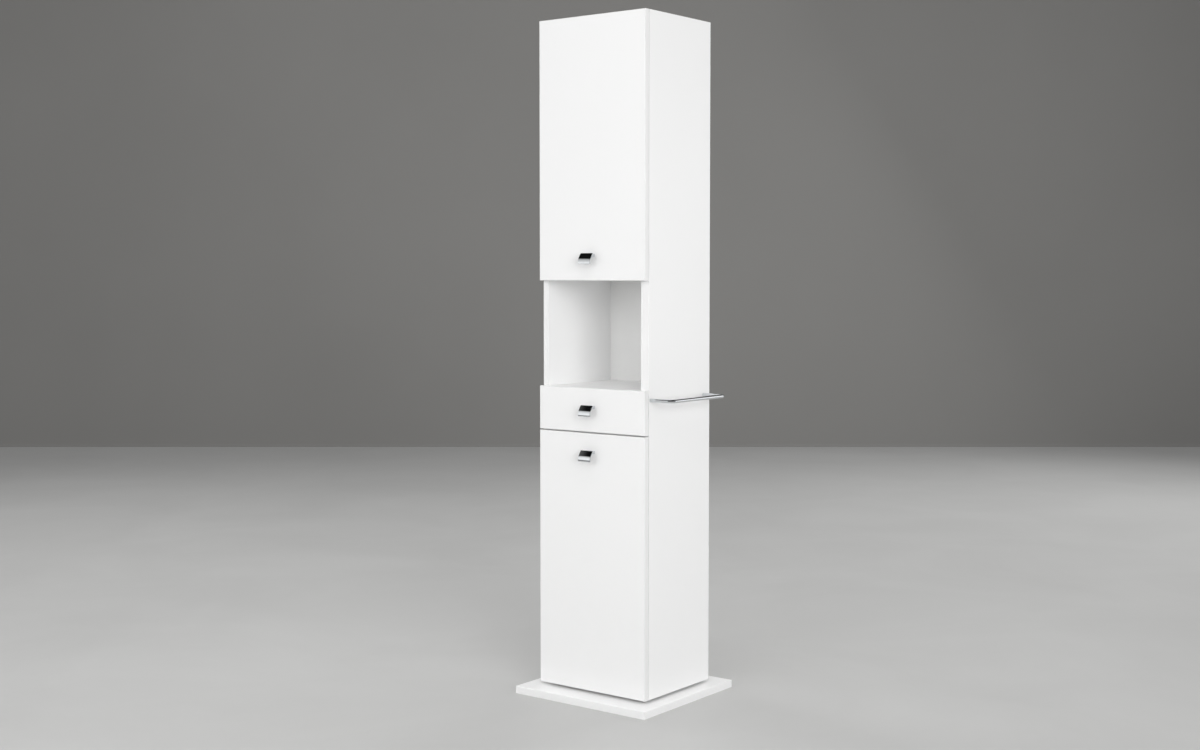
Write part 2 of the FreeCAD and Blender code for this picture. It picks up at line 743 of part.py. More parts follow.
def door(prefix, floor, top, pull_level):
    """A door with its pull, hinge cups and bumpers, and the hinge parts that stay on the cabinet and the links."""
    levels = [f"{floor} + hinge_inset", f"{top} - hinge_inset"]
    screws = node(f"{prefix}_pull_screws", pull_screws(pull_level, "front_back", "front_board"))
    node(f"{prefix}_door_pull", cut(pull(pull_level), [screws]))
    fixings = node(f"{prefix}_cup_screws", group([screw for level in levels for screw in cup_screws(level)]))
    node(f"{prefix}_hinge_cups", cut(group([hinge_cup(level) for level in levels]), [fixings]))
    bores = [rod("-Y", ("cup_centre_x", "front_back", level), "cup_radius", "cup_depth") for level in levels]
    node(f"{prefix}_door_panel", cut(front_panel(floor, top), [group(bores), fixings, screws]))
    node(f"{prefix}_door_bumpers", group([
        rod("+Y", ("right_face - bumper_inset", "front_back", level), "bumper_radius", "front_gap")
        for level in (f"{floor} + bumper_edge_distance", f"{top} - bumper_edge_distance")
    ]))
    pins = [hinge_pin(across, along, level) for level in levels
            for across, along in (("arm_pin_x", "arm_pin_y"), ("cup_pin_x", "cup_pin_y"))]
    pin_set = node(f"{prefix}_hinge_pins", group(pins))
    node(f"{prefix}_hinge_links", group([
        link_cheek(cheek_floor, [pin_set]) for level in levels
        for cheek_floor in (f"{level} - cheek_outer", f"{level} + cheek_inner")
    ]))
    return levels


hinge_levels = door("lower", "body_floor", "lower_door_top", "lower_door_top - pull_edge_distance")
hinge_levels += door("upper", "niche_top", "body_top", "niche_top + pull_edge_distance")
plate_screws = node("hinge_plate_screws",
                    group([screw for level in hinge_levels for screw in hinge_plate_screws(level)]))
node("hinge_plates", cut(group([hinge_plate(level) for level in hinge_levels]), [plate_screws]))
node("hinge_arms", group([hinge_arm(level) for level in hinge_levels]))

# Drawer: a front on a box with a let-in bottom
drawer_pull_level = "(drawer_front_floor + niche_floor_top) / 2"
box_front_back = "front_back + drawer_board"
front_screws = node("drawer_front_screws", group([
    flat_screw("-Y", (across, box_front_back, level), "small_screw_radius", "small_screw_head_radius",
               "small_screw_head", "drawer_board + small_screw_length")
    for across in ("box_left + drawer_board + drawer_screw_inset", "box_right - drawer_board - drawer_screw_inset")
    for level in ("box_floor + drawer_screw_inset", "box_top - drawer_screw_inset")
]))
drawer_screws = node("drawer_pull_screws",
                     pull_screws(drawer_pull_level, box_front_back, "drawer_board + front_board"))
node("drawer_pull", cut(pull(drawer_pull_level), [drawer_screws]))
node("drawer_front", cut(front_panel("drawer_front_floor", "niche_floor_top"), [front_screws, drawer_screws]))
bottom_floor = "box_floor + drawer_bottom_lift"
box_inner = ("box_left + drawer_board", "box_right - drawer_board")
drawer_bottom = node("drawer_bottom", box(
    (f"{box_inner[0]} - drawer_groove", f"{box_inner[1]} + drawer_groove"),
    (f"{box_front_back} - drawer_groove", "box_back - drawer_board + drawer_groove"),
    (bottom_floor, f"{bottom_floor} + drawer_bottom_board")))
box_walls = {
    "drawer_box_left": (("box_left", box_inner[0]), ("front_back", "box_back")),
    "drawer_box_right": ((box_inner[1], "box_right"), ("front_back", "box_back")),
    "drawer_box_front": (box_inner, ("front_back", box_front_back)),
    "drawer_box_back": (box_inner, ("box_back - drawer_board", "box_back")),
}
for name, (across, along) in box_walls.items():
    wall_tools = [drawer_bottom] + ([front_screws, drawer_screws] if name == "drawer_box_front" else [])
    node(name, cut(box(across, along, ("box_floor", "box_top")), wall_tools))

# Fixed boards between the sides, then the sides themselves
for name, (floor, cam_side) in fixed_boards.items():
    outer_board = name in ("top_panel", "bottom_panel")
    blank = box(("left_inner", "right_inner"), ("carcass_front", "carcass_back" if outer_board else "back_inner"),
                (floor, f"{floor} + board"))
    tools = board_fittings + ([back_panel] if outer_board else [])
    if name == "bottom_panel":
        recess = rod("+Z", ("0", "0", "body_floor - overrun"), "rivet_head_radius + rivet_recess_margin",
                     "overrun + swivel_clearance + rivet_head + rivet_recess_margin")
        tools = tools + [upper_bearing_screws, recess]
    node(name, cut(blank, tools))
side_tools = [back_panel, back_screws, cam_bolts, dowel_group, pin_group, runner_screws]
side_depth = ("carcass_front", "carcass_back")
side_height = ("body_floor", "body_top")
left_blank = box(("left_face", "left_inner"), side_depth, side_height)
right_blank = box(("right_inner", "right_face"), side_depth, side_height)
node("left_side_panel", cut(left_blank, side_tools + [plate_screws]))
node("right_side_panel", cut(right_blank, side_tools + [rail_screws]))

# Build, check and write every piece
doc.recompute()
failed = [item.Label for item in doc.Objects if {"Invalid", "Error"} & set(item.State)]
failed += [name for name, item in nodes.items() if item.Shape.isNull() or not item.Shape.isValid()]
if failed:
    raise ValueError("these pieces failed: " + ", ".join(failed))
os.makedirs("parts", exist_ok=True)
for name, item in nodes.items():
    item.Shape.exportStep(os.path.join("parts", name + ".step"))
    print(name, len(item.Shape.Solids), round(item.Shape.Volume))
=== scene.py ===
import json
import math

import bpy
import numpy as np
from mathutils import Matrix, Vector


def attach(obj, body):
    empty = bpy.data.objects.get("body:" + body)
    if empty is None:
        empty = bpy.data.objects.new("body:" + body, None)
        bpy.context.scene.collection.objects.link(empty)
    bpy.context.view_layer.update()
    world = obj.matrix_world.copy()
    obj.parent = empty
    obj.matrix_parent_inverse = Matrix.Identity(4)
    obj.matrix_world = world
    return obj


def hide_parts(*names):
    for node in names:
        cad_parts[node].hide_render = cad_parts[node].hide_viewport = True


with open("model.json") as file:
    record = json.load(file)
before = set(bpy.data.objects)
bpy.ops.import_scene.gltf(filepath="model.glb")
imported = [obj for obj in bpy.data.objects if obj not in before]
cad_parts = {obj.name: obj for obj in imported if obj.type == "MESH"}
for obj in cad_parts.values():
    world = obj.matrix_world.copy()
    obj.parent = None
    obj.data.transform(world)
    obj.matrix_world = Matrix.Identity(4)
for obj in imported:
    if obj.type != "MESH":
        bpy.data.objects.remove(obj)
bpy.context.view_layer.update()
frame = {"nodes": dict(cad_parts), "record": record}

scene = bpy.context.scene
scene.view_settings.view_transform = "Standard"
mm = 0.001
print("frame loaded:", len(frame["nodes"]), "nodes")

plan = {  # planes of the cabinet in millimetres, as the frame has them
    "frontFace": -148.75, "frontBack": -132.75, "carcassBack": 148.75, "rightInner": 150.0, "rightFace": 175.0,
    "bodyFloor": 28.0, "bodyHeight": 1780.0,
    "doorSpans": {"lower": (28.0, 715.0), "upper": (1117.0, 1808.0)},
    "hingeLevels": {"lower": (118.0, 625.0), "upper": (1207.0, 1718.0)},
    "pullLevels": {"lower": 657.0, "upper": 1175.0, "drawer": 776.0},
}


def toLinear(code):
    # sRGB hex to linear: the dark foot is divided, the rest follows the 2.4 power
    parts = np.array([int(code[i:i + 2], 16) for i in (1, 3, 5)]) / 255
    linear = np.where(parts <= 0.04045, parts / 12.92, ((parts + 0.055) / 1.055) ** 2.4)
    return (*linear.tolist(), 1.0)


def addNode(tree, kind, links=None, **settings):
    node = tree.nodes.new(kind)
    for key, value in settings.items():
        setattr(node, key, value)
    for socket, value in (links or {}).items():
        if isinstance(value, bpy.types.NodeSocket):
            tree.links.new(value, node.inputs[socket])
        else:
            node.inputs[socket].default_value = value
    return node


mixA, mixB, mixOut = 6, 7, 2  # a mix node's sockets for colours: two going in, one coming out


def startMaterial(name, **sockets):
    # fixed numbers go straight on the shader's own sockets
    material = bpy.data.materials.new(name)
    material.use_nodes = True
    tree = material.node_tree
    shader = tree.nodes["Principled BSDF"]
    for socket, value in sockets.items():
        shader.inputs[socket.replace("_", " ")].default_value = value
    place = addNode(tree, "ShaderNodeTexCoord").outputs["Object"]
    return material, tree, shader, place


# sprayed satin lacquer on fibreboard: an even soft white, a faint orange peel that breaks up the sheen, and painted
# shade on its rounded edges
satinLacquer = {"name": "satinLacquerSprayed", "light": "#eeeeee", "dark": "#ebebeb", "cloudMm": 420, "peelMm": 1.6,
                "peelHeightMm": 0.012, "roughLow": 0.42, "roughHigh": 0.5, "edgeMm": 0.8, "ior": 1.45,
                "rim": "#e0e0e0"}
# melamine foil pressed on particle board: a lighter white than the fronts, with a fine pearl texture; faces towards the
# front painted darker, partly edge band tone, partly painted shade
melamineFoil = {"name": "melamineFoilPressed", "light": "#f5f5f5", "dark": "#f3f3f3", "cloudMm": 300, "peelMm": 0.9,
                "peelHeightMm": 0.02, "roughLow": 0.38, "roughHigh": 0.48, "edgeMm": 0.6, "ior": 1.5,
                "edgeBandAndShade": "#ececec"}
# thin fibreboard with a printed white face: flat, slightly warm, with the fibre showing through
printedFibreboard = {"name": "fibreboardPrintedWhite", "light": "#f5f5f4", "dark": "#f1f1f0", "cloudMm": 60,
                     "peelMm": 2.4, "peelHeightMm": 0.03, "roughLow": 0.52, "roughHigh": 0.64, "edgeMm": 0.3,
                     "ior": 1.48}
# paper foil wrapped round the drawer boards: a cooler white with a soft sheen
wrappedFoil = {"name": "paperFoilWrapped", "light": "#eeeeee", "dark": "#e7e8e8", "cloudMm": 160, "peelMm": 1.2,
               "peelHeightMm": 0.02, "roughLow": 0.42, "roughHigh": 0.52, "edgeMm": 0.6, "ior": 1.48}


def whiteFace(spec):
    material, tree, shader, place = startMaterial(spec["name"], IOR=spec["ior"])
    cloud = addNode(tree, "ShaderNodeTexNoise", {"Vector": place, "Scale": 1000 / spec["cloudMm"], "Detail": 4.0})
    tint = addNode(tree, "ShaderNodeMix", {"Factor": cloud.outputs["Fac"], mixA: toLinear(spec["light"]),
                                           mixB: toLinear(spec["dark"])}, data_type="RGBA")
    peel = addNode(tree, "ShaderNodeTexNoise", {"Vector": place, "Scale": 1000 / spec["peelMm"], "Detail": 2.0})
    sheen = addNode(tree, "ShaderNodeMapRange", {"Value": cloud.outputs["Fac"], "From Min": 0.3, "From Max": 0.7,
                                                 "To Min": spec["roughLow"], "To Max": spec["roughHigh"]})
    eased = addNode(tree, "ShaderNodeBevel", {"Radius": spec["edgeMm"] * mm}, samples=4)  # eased board edges
    relief = addNode(tree, "ShaderNodeBump", {"Height": peel.outputs["Fac"], "Strength": 0.6,
                                              "Distance": spec["peelHeightMm"] * mm, "Normal": eased.outputs["Normal"]})
    if "edgeBandAndShade" in spec:  # faces that point to the front are painted a shade darker than the foil: partly the glued edge strip's own tone, partly painted shade, as on the base plate's front face
        facing = addNode(tree, "ShaderNodeTexCoord").outputs["Normal"]
        front = addNode(tree, "ShaderNodeSeparateXYZ", {"Vector": facing}).outputs["Y"]
        strip = addNode(tree, "ShaderNodeMapRange", {"Value": front, "From Min": -0.9, "From Max": -0.95})
        tint = addNode(tree, "ShaderNodeMix", {"Factor": strip.outputs["Result"], mixA: tint.outputs[mixOut],
                                               mixB: toLinear(spec["edgeBandAndShade"])}, data_type="RGBA")
    if "rim" in spec:  # painted shade: rounded edges, where no axis has the whole normal, are painted darker to stand in for the shade that falls on them
        facing = addNode(tree, "ShaderNodeTexCoord").outputs["Normal"]
        shares = addNode(tree, "ShaderNodeVectorMath", {0: facing}, operation="ABSOLUTE")
        axes = addNode(tree, "ShaderNodeSeparateXYZ", {"Vector": shares.outputs["Vector"]}).outputs
        across = addNode(tree, "ShaderNodeMath", {0: axes["X"], 1: axes["Y"]}, operation="MAXIMUM")
        most = addNode(tree, "ShaderNodeMath", {0: across.outputs[0], 1: axes["Z"]}, operation="MAXIMUM")
        rounded = addNode(tree, "ShaderNodeMapRange", {"Value": most.outputs[0], "From Min": 0.995, "From Max": 0.9})
        tint = addNode(tree, "ShaderNodeMix", {"Factor": rounded.outputs["Result"], mixA: tint.outputs[mixOut],
                                               mixB: toLinear(spec["rim"])}, data_type="RGBA")
    tree.links.new(tint.outputs[mixOut], shader.inputs["Base Color"])
    tree.links.new(sheen.outputs["Result"], shader.inputs["Roughness"])
    tree.links.new(relief.outputs["Normal"], shader.inputs["Normal"])
    return material


# chrome plate over polished zinc: a mirror with a few faint wiping marks
chromePlate = {"name": "chromePlatePolished", "light": "#e3e6e8", "dark": "#d6d9dc", "smearMm": 14, "roughLow": 0.03,
               "roughHigh": 0.09}


def chromeFace(spec):
    material, tree, shader, place = startMaterial(spec["name"], Metallic=1.0)
    smear = addNode(tree, "ShaderNodeTexNoise", {"Vector": place, "Scale": 1000 / spec["smearMm"], "Detail": 5.0,
                                                 "Distortion": 0.6})
    tint = addNode(tree, "ShaderNodeMix", {"Factor": smear.outputs["Fac"], mixA: toLinear(spec["light"]),
                                           mixB: toLinear(spec["dark"])}, data_type="RGBA")
    sheen = addNode(tree, "ShaderNodeMapRange", {"Value": smear.outputs["Fac"], "From Min": 0.45, "From Max": 0.75,
                                                 "To Min": spec["roughLow"], "To Max": spec["roughHigh"]})
    tree.links.new(tint.outputs[mixOut], shader.inputs["Base Color"])
    tree.links.new(sheen.outputs["Result"], shader.inputs["Roughness"])
    return material


# nickel plate on pressed steel: warm grey, satin, with fine drawing lines
nickelPressed = {"name": "nickelPlatePressed", "light": "#cfcbc3", "dark": "#b7b3aa", "grainMm": (0.8, 0.8, 9.0),
                 "roughLow": 0.22, "roughHigh": 0.36, "reliefMm": 0.006}
# zinc plate on rolled steel: cool grey with rolling lines along the strip
zincRolled = {"name": "zincPlateRolled", "light": "#c6cacf", "dark": "#a4a9b0", "grainMm": (0.9, 16.0, 0.9),
              "roughLow": 0.28, "roughHigh": 0.44, "reliefMm": 0.008}
# raw die-cast zinc: dull grey with a sandy skin
zincDieCast = {"name": "zincDieCastRaw", "light": "#a9acaf", "dark": "#8b8e92", "grainMm": (0.7, 0.7, 0.7),
               "roughLow": 0.42, "roughHigh": 0.58, "reliefMm": 0.03}
# zinc plated screws: bright, with a fine headed grain
zincScrew = {"name": "zincPlateScrew", "light": "#cfd3d8", "dark": "#b0b5bb", "grainMm": (0.5, 0.5, 0.5),
             "roughLow": 0.20, "roughHigh": 0.34, "reliefMm": 0.008}
# ground steel of balls and hinge pins: bright and smooth
groundSteel = {"name": "steelGround", "light": "#d3d4d6", "dark": "#bdbec1", "grainMm": (0.4, 0.4, 2.0),
               "roughLow": 0.10, "roughHigh": 0.18, "reliefMm": 0.002}


def metalFace(spec):
    material, tree, shader, place = startMaterial(spec["name"], Metallic=1.0)
    stretch = addNode(tree, "ShaderNodeMapping", {"Vector": place, "Scale": tuple(1000 / g for g in spec["grainMm"])})
    grain = addNode(tree, "ShaderNodeTexNoise", {"Vector": stretch.outputs["Vector"], "Scale": 1.0, "Detail": 3.0})
    tint = addNode(tree, "ShaderNodeMix", {"Factor": grain.outputs["Fac"], mixA: toLinear(spec["light"]),
                                           mixB: toLinear(spec["dark"])}, data_type="RGBA")
    sheen = addNode(tree, "ShaderNodeMapRange", {"Value": grain.outputs["Fac"], "From Min": 0.3, "From Max": 0.7,
                                                 "To Min": spec["roughLow"], "To Max": spec["roughHigh"]})
    relief = addNode(tree, "ShaderNodeBump", {"Height": grain.outputs["Fac"], "Strength": 0.5,
                                              "Distance": spec["reliefMm"] * mm})
    tree.links.new(tint.outputs[mixOut], shader.inputs["Base Color"])
    tree.links.new(sheen.outputs["Result"], shader.inputs["Roughness"])
    tree.links.new(relief.outputs["Normal"], shader.inputs["Normal"])
    return material


# moulded polyamide of the ball cage: near black with a fine spark-eroded skin
cagePolyamide = {"name": "polyamideMoulded", "light": "#2c2c2e", "dark": "#232325", "grainMm": 0.5, "roughLow": 0.45,
                 "roughHigh": 0.6, "reliefMm": 0.02, "ior": 1.53}
# clear soft bumper: milky, with a soft shine
bumperSilicone = {"name": "siliconeMoulded", "light": "#dfe2e2", "dark": "#d3d7d7", "grainMm": 1.5, "roughLow": 0.22,
                  "roughHigh": 0.32, "reliefMm": 0.01, "ior": 1.41}


def plasticFace(spec):
    material, tree, shader, place = startMaterial(spec["name"], IOR=spec["ior"])
    grain = addNode(tree, "ShaderNodeTexNoise", {"Vector": place, "Scale": 1000 / spec["grainMm"], "Detail": 2.0})
    tint = addNode(tree, "ShaderNodeMix", {"Factor": grain.outputs["Fac"], mixA: toLinear(spec["light"]),
                                           mixB: toLinear(spec["dark"])}, data_type="RGBA")
    sheen = addNode(tree, "ShaderNodeMapRange", {"Value": grain.outputs["Fac"], "To Min": spec["roughLow"],
                                                 "To Max": spec["roughHigh"]})
    relief = addNode(tree, "ShaderNodeBump", {"Height": grain.outputs["Fac"], "Strength": 0.6,
                                              "Distance": spec["reliefMm"] * mm})
    tree.links.new(tint.outputs[mixOut], shader.inputs["Base Color"])
    tree.links.new(sheen.outputs["Result"], shader.inputs["Roughness"])
    tree.links.new(relief.outputs["Normal"], shader.inputs["Normal"])
    return material


# beech dowels: pale brown, with the short flecks of beech along the rod
beechDowel = {"name": "beechTurned", "light": "#d9b98e", "dark": "#b98f60", "fleckMm": (7.0, 0.7, 0.7),
              "rough": 0.62, "reliefMm": 0.04}


def beechFace(spec):
    material, tree, shader, place = startMaterial(spec["name"], Roughness=spec["rough"])
    stretch = addNode(tree, "ShaderNodeMapping", {"Vector": place, "Scale": tuple(1000 / g for g in spec["fleckMm"])})
    fleck = addNode(tree, "ShaderNodeTexNoise", {"Vector": stretch.outputs["Vector"], "Scale": 1.0, "Detail": 4.0})
    tint = addNode(tree, "ShaderNodeMix", {"Factor": fleck.outputs["Fac"], mixA: toLinear(spec["light"]),
                                           mixB: toLinear(spec["dark"])}, data_type="RGBA")
    relief = addNode(tree, "ShaderNodeBump", {"Height": fleck.outputs["Fac"], "Strength": 0.5,
                                              "Distance": spec["reliefMm"] * mm})
    tree.links.new(tint.outputs[mixOut], shader.inputs["Base Color"])
    tree.links.new(relief.outputs["Normal"], shader.inputs["Normal"])
    return material


finishes = {  # the record's slots and the materials that dress them
    "white_front": whiteFace(satinLacquer), "white_board": whiteFace(melamineFoil),
    "white_back": whiteFace(printedFibreboard), "drawer_board": whiteFace(wrappedFoil),
    "chrome": chromeFace(chromePlate), "nickel_steel": metalFace(nickelPressed), "zinc_steel": metalFace(zincRolled),
    "zinc_cast": metalFace(zincDieCast), "screw_steel": metalFace(zincScrew), "bearing_steel": metalFace(groundSteel),
    "cage_plastic": plasticFace(cagePolyamide), "bumper_rubber": plasticFace(bumperSilicone),
    "beech_dowel": beechFace(beechDowel),
}
for part in frame["record"]["subparts"]:
    dressed = frame["nodes"][part["node"]]
    dressed.data.materials.clear()
    dressed.data.materials.append(finishes[part["material_slot"]])
print("materials:", len(finishes), "finishes on the CAD nodes")


def gridQuads(rows, cols):
    # quads between neighbouring points of a rows by cols grid; the last column is joined to the first
    r = np.arange(rows - 1)[:, None]
    c = np.arange(cols)[None, :]
    r2, c2 = r + 1, (c + 1) % cols
    return np.stack([r * cols + c, r * cols + c2, r2 * cols + c2, r2 * cols + c], -1).reshape(-1, 4)


def ladderQuads(start, count, flip):
    # closes a mirrored loop: each pair of neighbours is joined to its mirror image across the loop
    i = np.arange(count // 2 - 1)
    quads = np.stack([i, i + 1, count - 2 - i, count - 1 - i], -1) + start
    return quads[:, ::-1] if flip else quads


def closedQuads(rows, count):
    # a grid that wraps round its loops, closed at the first and at the last loop
    return np.concatenate([gridQuads(rows, count), ladderQuads(0, count, True),
                           ladderQuads((rows - 1) * count, count, False)])


def facingOut(points, quads):
    # signed volume of the shell: where it is negative the faces are turned round
    a, b, c, d = (points[quads[:, k]] for k in range(4))
    volume = (a * np.cross(b, c)).sum() + (a * np.cross(c, d)).sum()
    return quads if volume > 0 else quads[:, ::-1]


def addPiece(name, shells, slotName, body, replaced, sharpDegrees=40):
    # puts closed shells (points in millimetres, quads) into one mesh in metres
    starts = np.cumsum([0] + [len(points) for points, quads in shells])
    points = np.concatenate([points for points, quads in shells]) * mm
    quads = np.concatenate([facingOut(*shell) + start for shell, start in zip(shells, starts)])
    mesh = bpy.data.meshes.new(name)
    mesh.from_pydata(points.tolist(), [], [list(dict.fromkeys(face)) for face in quads.tolist()])
    mesh.polygons.foreach_set("use_smooth", np.ones(len(mesh.polygons), bool))
    mesh.set_sharp_from_angle(angle=math.radians(sharpDegrees))
    mesh.materials.append(finishes[slotName])
    piece = bpy.data.objects.new(name, mesh)
    scene.collection.objects.link(piece)
    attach(piece, body)
    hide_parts(*replaced)


def softRectangle(length, height, radius, longSteps, cornerSteps):
    # closed loop: a straight top with a quarter circle at each end, then its mirror image below, run backwards
    turn = np.linspace(0, math.pi / 2, cornerSteps)
    side = np.linspace(-(length / 2 - radius), length / 2 - radius, longSteps)[1:-1]
    u = np.concatenate([-(length / 2 - radius) - radius * np.cos(turn), side,
                        (length / 2 - radius) + radius * np.sin(turn)])
    v = (height / 2 - radius) + radius * np.concatenate([np.sin(turn), np.ones(len(side)), np.cos(turn)])
    return np.concatenate([np.stack([u, v], -1), np.stack([u, -v], -1)[::-1]])


def roundCorner(before, corner, after, radius, steps):
    # points of a path of two straight legs whose corner is a circular arc: the arc starts and ends at equal
    # distances from the corner and bulges towards it
    before, corner, after = (np.array(p, float) for p in (before, corner, after))
    legIn = (corner - before) / np.linalg.norm(corner - before)
    legOut = (after - corner) / np.linalg.norm(after - corner)
    half = math.acos(np.clip(legIn @ legOut, -1, 1)) / 2
    outward = (legIn - legOut) / np.linalg.norm(legIn - legOut)
    along = (legIn + legOut) / np.linalg.norm(legIn + legOut)
    centre = corner - outward * radius / math.cos(half)
    angle = np.linspace(-half, half, steps)[:, None]
    return centre + radius * (np.cos(angle) * outward + np.sin(angle) * along)


pullShape = {"width": 40.0, "height": 28.5, "standoff": 18.5, "wall": 2.8, "slopeReach": 9.5, "slopeDrop": 13.5,
             "runs": (0.0, 16.4, 19.4, 31.85), "leanDegrees": (35.1, 35.1, 15.5, -4.5), "runSteps": 200,
             "longSteps": 50, "edge": 0.7, "leastEdge": 0.02, "edgeSteps": 5, "neckWidth": 26.0, "neckHeight": 8.0,
             "neckInset": 1.8, "neckEdge": 1.0, "neckLongSteps": 8, "neckRows": 4}


def pullShells(spec, level):
    # the plate's line leans out at one angle along the slope, turns in the bend and straightens slowly along the lip:
    # out and down are the running sums of the lean's sine and cosine
    # the plate is a soft rectangle (run along that line, wall thickness) carried along X; its last rings draw in by a
    # quarter circle, so every edge is eased
    top = spec["height"] / 2
    run = np.linspace(0, spec["runs"][-1], spec["runSteps"])
    lean = np.radians(np.interp(run, spec["runs"], spec["leanDegrees"]))
    line = np.cumsum(np.stack([np.sin(lean), -np.cos(lean)], -1) * run[1], axis=0) + (spec["standoff"], top)
    edge, edgeSteps = spec["edge"], spec["edgeSteps"]
    drawIn = np.linspace(0, math.pi / 2, edgeSteps)
    insets = np.concatenate([edge * (1 - np.sin(drawIn)), edge * (1 - np.sin(drawIn))[::-1]])
    across = np.concatenate([-spec["width"] / 2 + edge * (1 - np.cos(drawIn)),
                             spec["width"] / 2 - edge * (1 - np.cos(drawIn))[::-1]])
    rings = []
    for inset, x in zip(insets, across):
        loop = softRectangle(run[-1] - 2 * inset, spec["wall"] - 2 * inset, max(edge - inset, spec["leastEdge"]),
                             spec["longSteps"], edgeSteps)
        s = loop[:, 0] + run[-1] / 2
        out = np.interp(s, run, line[:, 0]) - spec["wall"] / 2 + loop[:, 1]
        up = np.interp(s, run, line[:, 1])
        rings.append(np.stack([np.full(len(loop), x), plan["frontFace"] - out, level + up], -1))
    plate = np.concatenate(rings)
    # the neck is a soft rectangle (width, height) carried outwards and cut off along the plate's slope
    loop = softRectangle(spec["neckWidth"], spec["neckHeight"], spec["neckEdge"], spec["neckLongSteps"], edgeSteps)
    up = top - spec["neckInset"] - spec["neckHeight"] / 2 + loop[:, 1]
    reach = spec["standoff"] - spec["wall"] / 2 + (top - up) * spec["slopeReach"] / spec["slopeDrop"]
    share = np.linspace(0, 1, spec["neckRows"])[:, None]
    neck = np.stack(np.broadcast_arrays(loop[:, 0], plan["frontFace"] - share * reach, level + up), -1)
    return [(plate, closedQuads(len(rings), len(rings[0]))),
            (neck.reshape(-1, 3), closedQuads(spec["neckRows"], len(loop)))]


for prefix, body, node in (("upper", "upper_door", "upper_door_pull"), ("lower", "lower_door", "lower_door_pull"),
                           ("drawer", "drawer", "drawer_pull")):
    addPiece(f"{prefix}PullChrome", pullShells(pullShape, plan["pullLevels"][prefix]), "chrome", body, [node])
print("pulls: three bent plates on necks")

railShape = {"radius": 5.0, "reach": 67.0, "bend": 12.0, "bendSteps": 13, "level": 809.0, "near": -123.75,
             "far": 119.25, "sides": 40}


def railShells(spec):
    # a circle carried along a U of two arms and a bar in one level, with round bends
    x0, x1 = plan["rightFace"], plan["rightFace"] + spec["reach"]
    middle = (x1, (spec["near"] + spec["far"]) / 2)
    bends = [roundCorner((x0, spec["near"]), (x1, spec["near"]), middle, spec["bend"], spec["bendSteps"]),
             roundCorner(middle, (x1, spec["far"]), (x0, spec["far"]), spec["bend"], spec["bendSteps"])]
    path = np.concatenate([[(x0, spec["near"])], bends[0], bends[1], [(x0, spec["far"])]])
    heading = np.gradient(path, axis=0)
    heading /= np.linalg.norm(heading, axis=1, keepdims=True)
    side = np.stack([heading[:, 1], -heading[:, 0]], -1)
    angle = np.linspace(0, 2 * math.pi, spec["sides"], endpoint=False) + math.pi / spec["sides"]
    xy = path[:, None, :] + spec["radius"] * np.cos(angle)[None, :, None] * side[:, None, :]
    z = np.broadcast_to(spec["level"] + spec["radius"] * np.sin(angle), xy.shape[:2])
    tube = np.concatenate([xy, z[..., None]], -1).reshape(-1, 3)
    return [(tube, closedQuads(len(path), spec["sides"]))]


addPiece("towelRailChrome", railShells(railShape), "chrome", "cabinet", ["towel_rail"])
print("towel rail: bent bar")

headShapes = {  # head radius, head height, shank radius, cross recess: half width, reach, depth, all in millimetres
    "flat": {"head": 3.0, "rise": 0.0, "shank": 1.5, "half": 0.42, "reach": 1.9, "deep": 1.1},
    "pan": {"head": 3.0, "rise": 1.4, "shank": 1.5, "half": 0.42, "reach": 1.9, "deep": 0.9},
    "pull": {"head": 4.0, "rise": 2.2, "shank": 2.0, "half": 0.5, "reach": 2.4, "deep": 1.3},
    "rail": {"head": 4.5, "rise": 3.0, "shank": 2.5, "half": 0.55, "reach": 2.8, "deep": 1.6},
    "cam": {"head": 7.5, "rise": 0.0, "shank": 7.5, "half": 0.9, "reach": 4.8, "deep": 2.2},
}
headCurve = {  # shares of the head radius, of its height or of the recess, and the steps that draw them
    "around": 48, "hub": 0.02, "crownShare": 0.8, "crownSteps": 13, "crownFall": 0.16, "shoulderSteps": 6,
    "shoulderRise": 0.672, "rimRise": 0.04, "flatShare": 0.985, "flatSteps": 16, "flatEaseMm": 0.06,
    "shankShare": 0.999, "tipShare": 0.5, "tipHubMm": 0.02, "wallShare": 0.25, "fadeShare": 0.5,
}
headTurns = {"first": 0.7, "each": 1.9}  # radians
headSharp = 30  # degrees between two faces from which an edge of a head stays sharp


